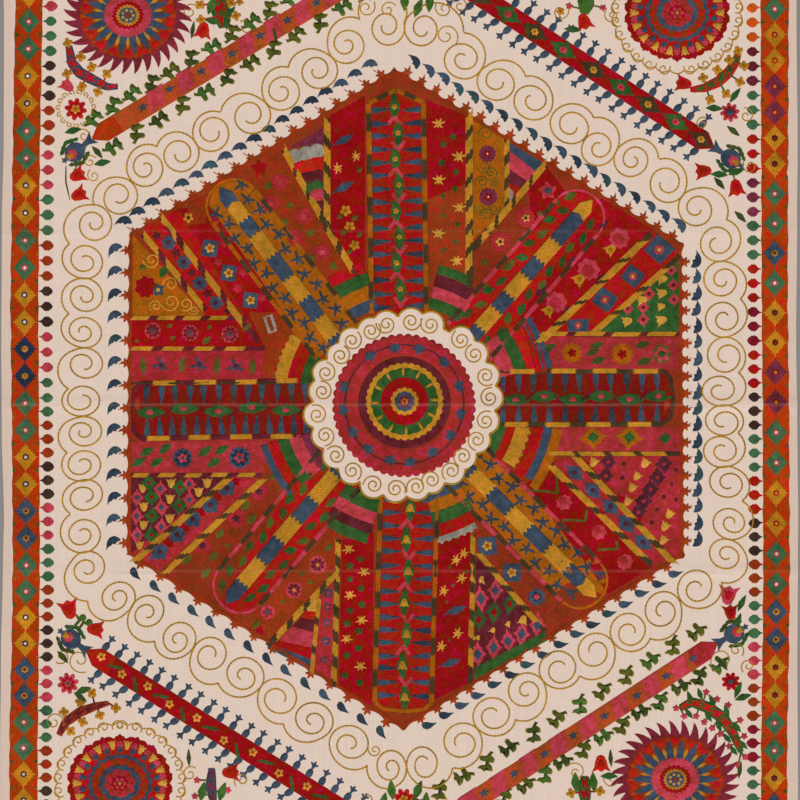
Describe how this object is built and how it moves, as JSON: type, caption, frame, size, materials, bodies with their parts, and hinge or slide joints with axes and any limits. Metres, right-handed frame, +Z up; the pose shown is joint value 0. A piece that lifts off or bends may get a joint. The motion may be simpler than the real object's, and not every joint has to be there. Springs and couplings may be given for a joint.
{
  "type": "suzani embroidered textile",
  "caption": "Large flat cotton cloth of joined loom-width strips, covered with silk hand embroidery: a central rosette in a hexagon, corner rosettes and a worked border.",
  "frame": {"origin": "middle of the underside of the flat cloth, on the surface that it lies on", "axes": "+X across the cloth, +Y along its length, +Z up out of the embroidered face"},
  "size_m": [1.7, 2.1699, 0.0054],
  "materials": {
    "cotton_ground": "plain woven undyed cotton, matt",
    "silk_embroidery": "dense silk thread stitches in reds, greens, blues and yellows, soft sheen"
  },
  "bodies": {
    "root": {"cotton_strip_1": "cotton_ground", "cotton_strip_2": "cotton_ground", "cotton_strip_3": "cotton_ground", "cotton_strip_4": "cotton_ground", "cotton_strip_5": "cotton_ground", "cotton_strip_6": "cotton_ground"}
  },
  "joints": []
}
